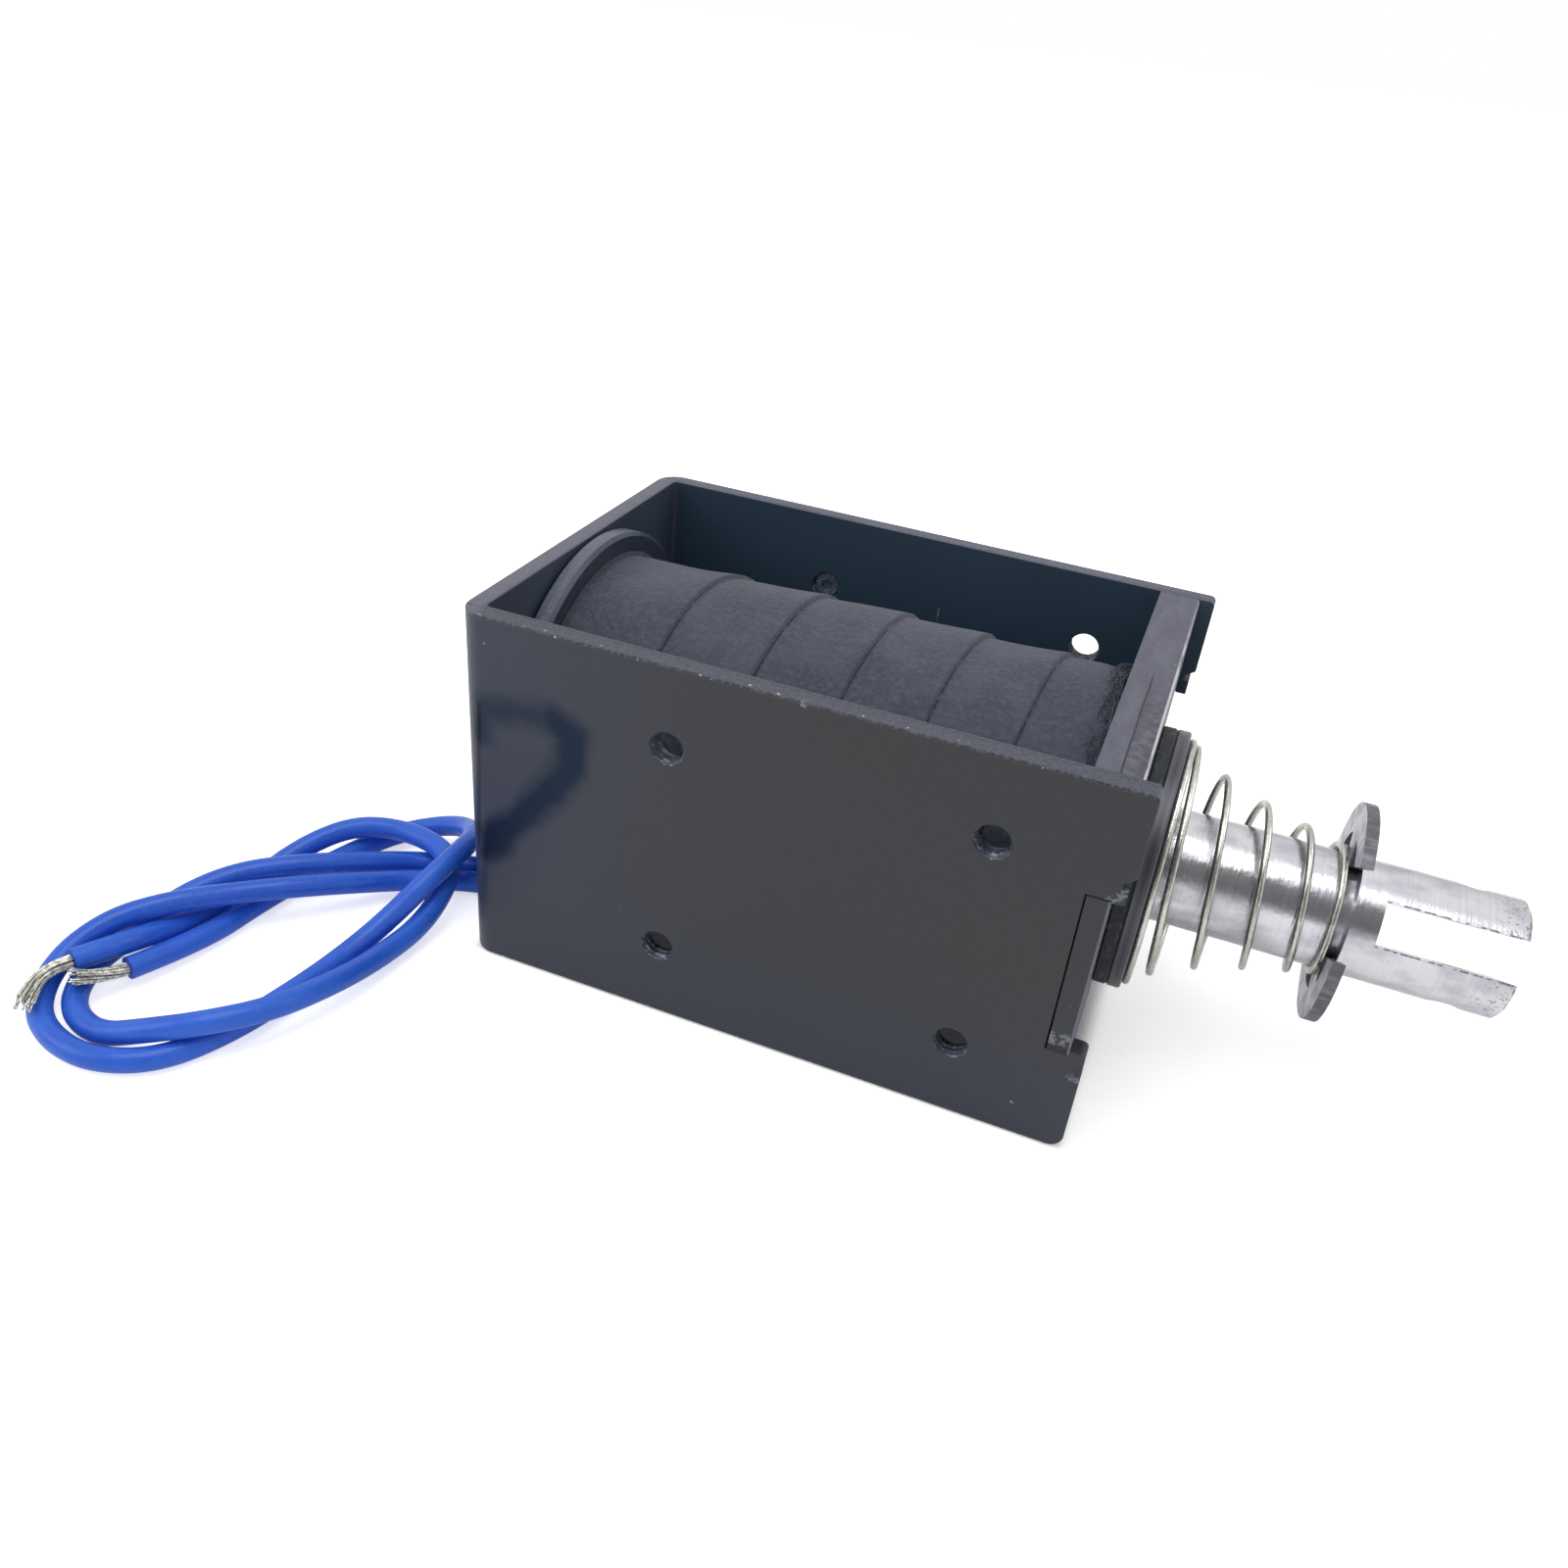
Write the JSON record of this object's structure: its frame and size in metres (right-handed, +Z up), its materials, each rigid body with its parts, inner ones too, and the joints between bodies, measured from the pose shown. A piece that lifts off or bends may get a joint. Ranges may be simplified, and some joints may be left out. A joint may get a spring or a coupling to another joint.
{
  "type": "push pull solenoid",
  "caption": "Open frame push pull solenoid with a slotted plunger, a cone return spring and blue leads",
  "frame": {"origin": "middle of the underside of the part's box, from the push rod's end to the fork's end, leads left out", "axes": "+X along the plunger towards its fork, +Z up through the open top of the yoke, yoke standing on Z = 0"},
  "size_m": [0.1595, 0.0927, 0.048],
  "materials": {
    "yoke_steel": "dark passivated steel, satin, sheared edges brighter",
    "plunger_nickel": "bright nickel plating, fine turning marks",
    "spring_steel": "drawn spring wire, satin",
    "clip_steel": "dark spring steel, satin",
    "washer_fibre": "dark fibre, matte",
    "washer_steel": "dark passivated steel, smooth",
    "pole_iron": "soft iron, turned",
    "tube_brass": "drawn brass",
    "bobbin_plastic": "moulded nylon, matte",
    "winding_copper": "enamelled copper",
    "film_plastic": "clear amber film",
    "coil_tape": "dark woven cloth tape",
    "sleeve_plastic": "woven glass sleeve",
    "lead_insulation": "blue insulation, glossy",
    "lead_strands": "tinned copper strands"
  },
  "bodies": {
    "frame": {"yoke": "yoke_steel", "front_plate_inner": "yoke_steel", "front_plate_outer": "yoke_steel", "fixed_pole": "pole_iron", "guide_tube": "tube_brass", "bobbin": "bobbin_plastic", "coil_winding": "winding_copper", "insulation_film": "film_plastic", "tape_wrap": "coil_tape", "lead_tape_patch": "coil_tape", "lead_joint_inner": "sleeve_plastic", "lead_joint_outer": "sleeve_plastic", "cushion_washer": "washer_fibre", "spring_seat_washer": "washer_steel", "return_spring": "spring_steel", "lead_a": "lead_insulation", "lead_b": "lead_insulation", "lead_a_strands": "lead_strands", "lead_b_strands": "lead_strands"},
    "clip": {"retaining_clip": "clip_steel"},
    "plunger": {"plunger": "plunger_nickel", "push_rod": "plunger_nickel"}
  },
  "joints": [
    {"name": "plunger_slide", "type": "slide", "parent": "frame", "child": "clip", "axis": [1, 0, 0], "range_m": [-0.01, 0], "stiffness_N_per_m": 300, "deforming": ["return_spring"]},
    {"name": "plunger_spin", "type": "hinge", "parent": "clip", "child": "plunger", "pos_m": [0, 0, 0.024], "axis": [1, 0, 0], "continuous": true}
  ]
}
